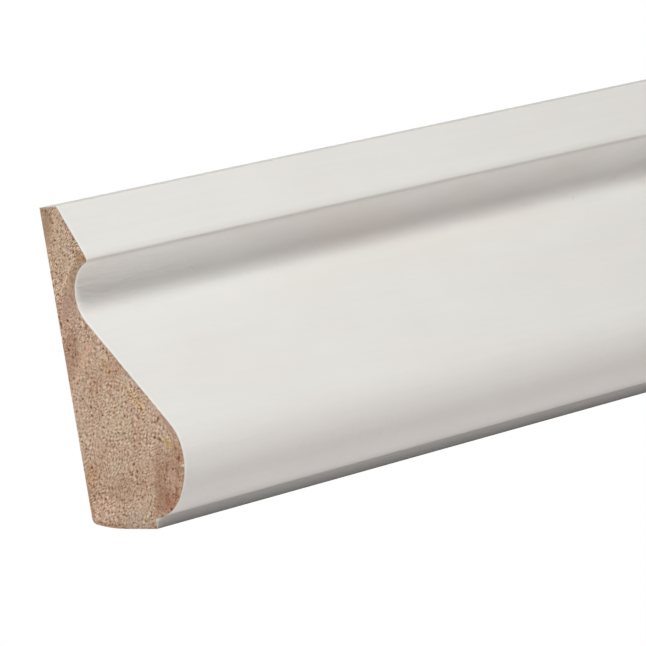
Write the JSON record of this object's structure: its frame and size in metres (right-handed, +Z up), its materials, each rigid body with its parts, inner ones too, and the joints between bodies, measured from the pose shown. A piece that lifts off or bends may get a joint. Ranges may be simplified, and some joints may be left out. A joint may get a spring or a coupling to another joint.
{
  "type": "base cap moulding",
  "caption": "Primed wooden base cap moulding, cut square at both ends: a full round nose over a small lip, a slope, a cove with a crisp edge and a bevel up to a narrow flat top.",
  "frame": {"origin": "middle of the underside, at the centre of the bounding box, where the moulding sits on the baseboard", "axes": "+X along the length of the moulding, +Y into the wall behind it, +Z up, so the moulded front faces -Y"},
  "size_m": [0.1, 0.0174, 0.0349],
  "materials": {
    "primed_pine": "matt white primer",
    "bare_pine": "bare, sawn at the ends and planed on the wall face"
  },
  "bodies": {
    "root": {"base_cap_moulding": "primed_pine"}
  },
  "joints": []
}
